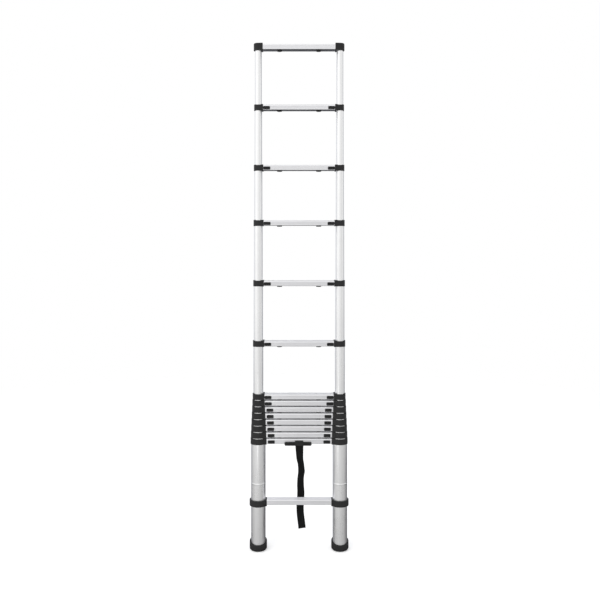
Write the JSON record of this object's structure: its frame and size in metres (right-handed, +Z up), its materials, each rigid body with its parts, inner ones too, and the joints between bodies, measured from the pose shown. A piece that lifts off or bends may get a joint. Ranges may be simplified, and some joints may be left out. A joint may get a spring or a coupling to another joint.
{
  "type": "telescoping ladder",
  "caption": "Aluminium telescoping ladder with nested round stile tubes, hollow rungs, black locking collars with thumb latches, round rubber feet and a hanging strap.",
  "frame": {"origin": "on the ground, midway between the centres of the two feet", "axes": "+Z up along the stiles; +X across the ladder, to the right as seen from the front; -Y is the front face, with the release buttons"},
  "size_m": [0.486, 0.086, 2.4797],
  "materials": {
    "tube_aluminium": "satin anodised, fine lengthwise brushing",
    "rung_aluminium": "satin extrusion with fine lengthwise lines",
    "collar_nylon": "moulded glass-filled nylon with a fine grain",
    "bracket_nylon": "moulded nylon with a fine grain",
    "button_plastic": "smooth moulded plastic, slightly polished by thumbs",
    "strap_nylon": "smooth moulded plastic",
    "foot_rubber": "matt rubber",
    "strap_webbing": "woven polypropylene webbing"
  },
  "bodies": {
    "section_01": {"section_01_tubes_rung": "tube_aluminium", "section_01_collars": "collar_nylon", "feet": "foot_rubber", "bottom_rung": "rung_aluminium", "bottom_brackets": "bracket_nylon", "strap_bar": "strap_nylon", "strap": "strap_webbing"},
    "section_02": {"section_02_tubes_rung": "tube_aluminium", "section_02_collars": "collar_nylon"},
    "section_03": {"section_03_tubes_rung": "tube_aluminium", "section_03_collars": "collar_nylon"},
    "section_04": {"section_04_tubes_rung": "tube_aluminium", "section_04_collars": "collar_nylon"},
    "section_05": {"section_05_tubes_rung": "tube_aluminium", "section_05_collars": "collar_nylon"},
    "section_06": {"section_06_tubes_rung": "tube_aluminium", "section_06_collars": "collar_nylon"},
    "section_07": {"section_07_tubes_rung": "tube_aluminium", "section_07_collars": "collar_nylon"},
    "section_08": {"section_08_tubes_rung": "tube_aluminium", "section_08_collars": "collar_nylon"},
    "section_09": {"section_09_tubes_rung": "tube_aluminium", "section_09_collars": "collar_nylon"},
    "section_10": {"section_10_tubes_rung": "tube_aluminium", "section_10_collars": "collar_nylon"},
    "section_11": {"section_11_tubes_rung": "tube_aluminium", "section_11_collars": "collar_nylon"},
    "section_12": {"section_12_tubes_rung": "tube_aluminium", "section_12_collars": "collar_nylon"},
    "section_13": {"section_13_tubes_rung": "tube_aluminium", "section_13_collars": "collar_nylon"},
    "section_14": {"section_14_tubes_rung": "tube_aluminium", "section_14_caps": "collar_nylon"},
    "latch_01_left_slide": {"latch_01_left": "button_plastic"},
    "latch_01_right_slide": {"latch_01_right": "button_plastic"},
    "latch_02_left_slide": {"latch_02_left": "button_plastic"},
    "latch_02_right_slide": {"latch_02_right": "button_plastic"},
    "latch_03_left_slide": {"latch_03_left": "button_plastic"},
    "latch_03_right_slide": {"latch_03_right": "button_plastic"},
    "latch_04_left_slide": {"latch_04_left": "button_plastic"},
    "latch_04_right_slide": {"latch_04_right": "button_plastic"},
    "latch_05_left_slide": {"latch_05_left": "button_plastic"},
    "latch_05_right_slide": {"latch_05_right": "button_plastic"},
    "latch_06_left_slide": {"latch_06_left": "button_plastic"},
    "latch_06_right_slide": {"latch_06_right": "button_plastic"},
    "latch_07_left_slide": {"latch_07_left": "button_plastic"},
    "latch_07_right_slide": {"latch_07_right": "button_plastic"},
    "latch_08_left_slide": {"latch_08_left": "button_plastic"},
    "latch_08_right_slide": {"latch_08_right": "button_plastic"},
    "latch_09_left_slide": {"latch_09_left": "button_plastic"},
    "latch_09_right_slide": {"latch_09_right": "button_plastic"},
    "latch_10_left_slide": {"latch_10_left": "button_plastic"},
    "latch_10_right_slide": {"latch_10_right": "button_plastic"},
    "latch_11_left_slide": {"latch_11_left": "button_plastic"},
    "latch_11_right_slide": {"latch_11_right": "button_plastic"},
    "latch_12_left_slide": {"latch_12_left": "button_plastic"},
    "latch_12_right_slide": {"latch_12_right": "button_plastic"},
    "latch_13_left_slide": {"latch_13_left": "button_plastic"},
    "latch_13_right_slide": {"latch_13_right": "button_plastic"}
  },
  "joints": [
    {"name": "section_02_telescope", "type": "slide", "parent": "section_01", "child": "section_02", "axis": [0, 0, 1], "range_m": [0, 0.264]},
    {"name": "section_03_telescope", "type": "slide", "parent": "section_02", "child": "section_03", "axis": [0, 0, 1], "range_m": [0, 0.264]},
    {"name": "section_04_telescope", "type": "slide", "parent": "section_03", "child": "section_04", "axis": [0, 0, 1], "range_m": [0, 0.264]},
    {"name": "section_05_telescope", "type": "slide", "parent": "section_04", "child": "section_05", "axis": [0, 0, 1], "range_m": [0, 0.264]},
    {"name": "section_06_telescope", "type": "slide", "parent": "section_05", "child": "section_06", "axis": [0, 0, 1], "range_m": [0, 0.264]},
    {"name": "section_07_telescope", "type": "slide", "parent": "section_06", "child": "section_07", "axis": [0, 0, 1], "range_m": [0, 0.264]},
    {"name": "section_08_telescope", "type": "slide", "parent": "section_07", "child": "section_08", "axis": [0, 0, 1], "range_m": [0, 0.264]},
    {"name": "section_09_telescope", "type": "slide", "parent": "section_08", "child": "section_09", "axis": [0, 0, 1], "range_m": [-0.228, 0.036], "stiffness_N_per_m": 60, "springref_m": 0.6887},
    {"name": "section_10_telescope", "type": "slide", "parent": "section_09", "child": "section_10", "axis": [0, 0, 1], "range_m": [-0.264, 0], "stiffness_N_per_m": 60, "springref_m": 0.5625},
    {"name": "section_11_telescope", "type": "slide", "parent": "section_10", "child": "section_11", "axis": [0, 0, 1], "range_m": [-0.264, 0], "stiffness_N_per_m": 60, "springref_m": 0.4408},
    {"name": "section_12_telescope", "type": "slide", "parent": "section_11", "child": "section_12", "axis": [0, 0, 1], "range_m": [-0.239, 0.025], "stiffness_N_per_m": 60, "springref_m": 0.3237},
    {"name": "section_13_telescope", "type": "slide", "parent": "section_12", "child": "section_13", "axis": [0, 0, 1], "range_m": [-0.264, 0], "stiffness_N_per_m": 60, "springref_m": 0.211},
    {"name": "section_14_telescope", "type": "slide", "parent": "section_13", "child": "section_14", "axis": [0, 0, 1], "range_m": [-0.264, 0], "stiffness_N_per_m": 60, "springref_m": 0.1028},
    {"name": "latch_01_left", "type": "slide", "parent": "section_01", "child": "latch_01_left_slide", "axis": [-1, 0, 0], "range_m": [0, 0.006]},
    {"name": "latch_01_right", "type": "slide", "parent": "section_01", "child": "latch_01_right_slide", "axis": [1, 0, 0], "range_m": [0, 0.006]},
    {"name": "latch_02_left", "type": "slide", "parent": "section_02", "child": "latch_02_left_slide", "axis": [-1, 0, 0], "range_m": [0, 0.006]},
    {"name": "latch_02_right", "type": "slide", "parent": "section_02", "child": "latch_02_right_slide", "axis": [1, 0, 0], "range_m": [0, 0.006]},
    {"name": "latch_03_left", "type": "slide", "parent": "section_03", "child": "latch_03_left_slide", "axis": [-1, 0, 0], "range_m": [0, 0.006]},
    {"name": "latch_03_right", "type": "slide", "parent": "section_03", "child": "latch_03_right_slide", "axis": [1, 0, 0], "range_m": [0, 0.006]},
    {"name": "latch_04_left", "type": "slide", "parent": "section_04", "child": "latch_04_left_slide", "axis": [-1, 0, 0], "range_m": [0, 0.006]},
    {"name": "latch_04_right", "type": "slide", "parent": "section_04", "child": "latch_04_right_slide", "axis": [1, 0, 0], "range_m": [0, 0.006]},
    {"name": "latch_05_left", "type": "slide", "parent": "section_05", "child": "latch_05_left_slide", "axis": [-1, 0, 0], "range_m": [0, 0.006]},
    {"name": "latch_05_right", "type": "slide", "parent": "section_05", "child": "latch_05_right_slide", "axis": [1, 0, 0], "range_m": [0, 0.006]},
    {"name": "latch_06_left", "type": "slide", "parent": "section_06", "child": "latch_06_left_slide", "axis": [-1, 0, 0], "range_m": [0, 0.006]},
    {"name": "latch_06_right", "type": "slide", "parent": "section_06", "child": "latch_06_right_slide", "axis": [1, 0, 0], "range_m": [0, 0.006]},
    {"name": "latch_07_left", "type": "slide", "parent": "section_07", "child": "latch_07_left_slide", "axis": [-1, 0, 0], "range_m": [-0.006, 0]},
    {"name": "latch_07_right", "type": "slide", "parent": "section_07", "child": "latch_07_right_slide", "axis": [1, 0, 0], "range_m": [-0.006, 0]},
    {"name": "latch_08_left", "type": "slide", "parent": "section_08", "child": "latch_08_left_slide", "axis": [-1, 0, 0], "range_m": [-0.006, 0]},
    {"name": "latch_08_right", "type": "slide", "parent": "section_08", "child": "latch_08_right_slide", "axis": [1, 0, 0], "range_m": [-0.006, 0]},
    {"name": "latch_09_left", "type": "slide", "parent": "section_09", "child": "latch_09_left_slide", "axis": [-1, 0, 0], "range_m": [-0.006, 0]},
    {"name": "latch_09_right", "type": "slide", "parent": "section_09", "child": "latch_09_right_slide", "axis": [1, 0, 0], "range_m": [-0.006, 0]},
    {"name": "latch_10_left", "type": "slide", "parent": "section_10", "child": "latch_10_left_slide", "axis": [-1, 0, 0], "range_m": [-0.006, 0]},
    {"name": "latch_10_right", "type": "slide", "parent": "section_10", "child": "latch_10_right_slide", "axis": [1, 0, 0], "range_m": [-0.006, 0]},
    {"name": "latch_11_left", "type": "slide", "parent": "section_11", "child": "latch_11_left_slide", "axis": [-1, 0, 0], "range_m": [-0.006, 0]},
    {"name": "latch_11_right", "type": "slide", "parent": "section_11", "child": "latch_11_right_slide", "axis": [1, 0, 0], "range_m": [-0.006, 0]},
    {"name": "latch_12_left", "type": "slide", "parent": "section_12", "child": "latch_12_left_slide", "axis": [-1, 0, 0], "range_m": [-0.006, 0]},
    {"name": "latch_12_right", "type": "slide", "parent": "section_12", "child": "latch_12_right_slide", "axis": [1, 0, 0], "range_m": [-0.006, 0]},
    {"name": "latch_13_left", "type": "slide", "parent": "section_13", "child": "latch_13_left_slide", "axis": [-1, 0, 0], "range_m": [-0.006, 0]},
    {"name": "latch_13_right", "type": "slide", "parent": "section_13", "child": "latch_13_right_slide", "axis": [1, 0, 0], "range_m": [-0.006, 0]}
  ]
}
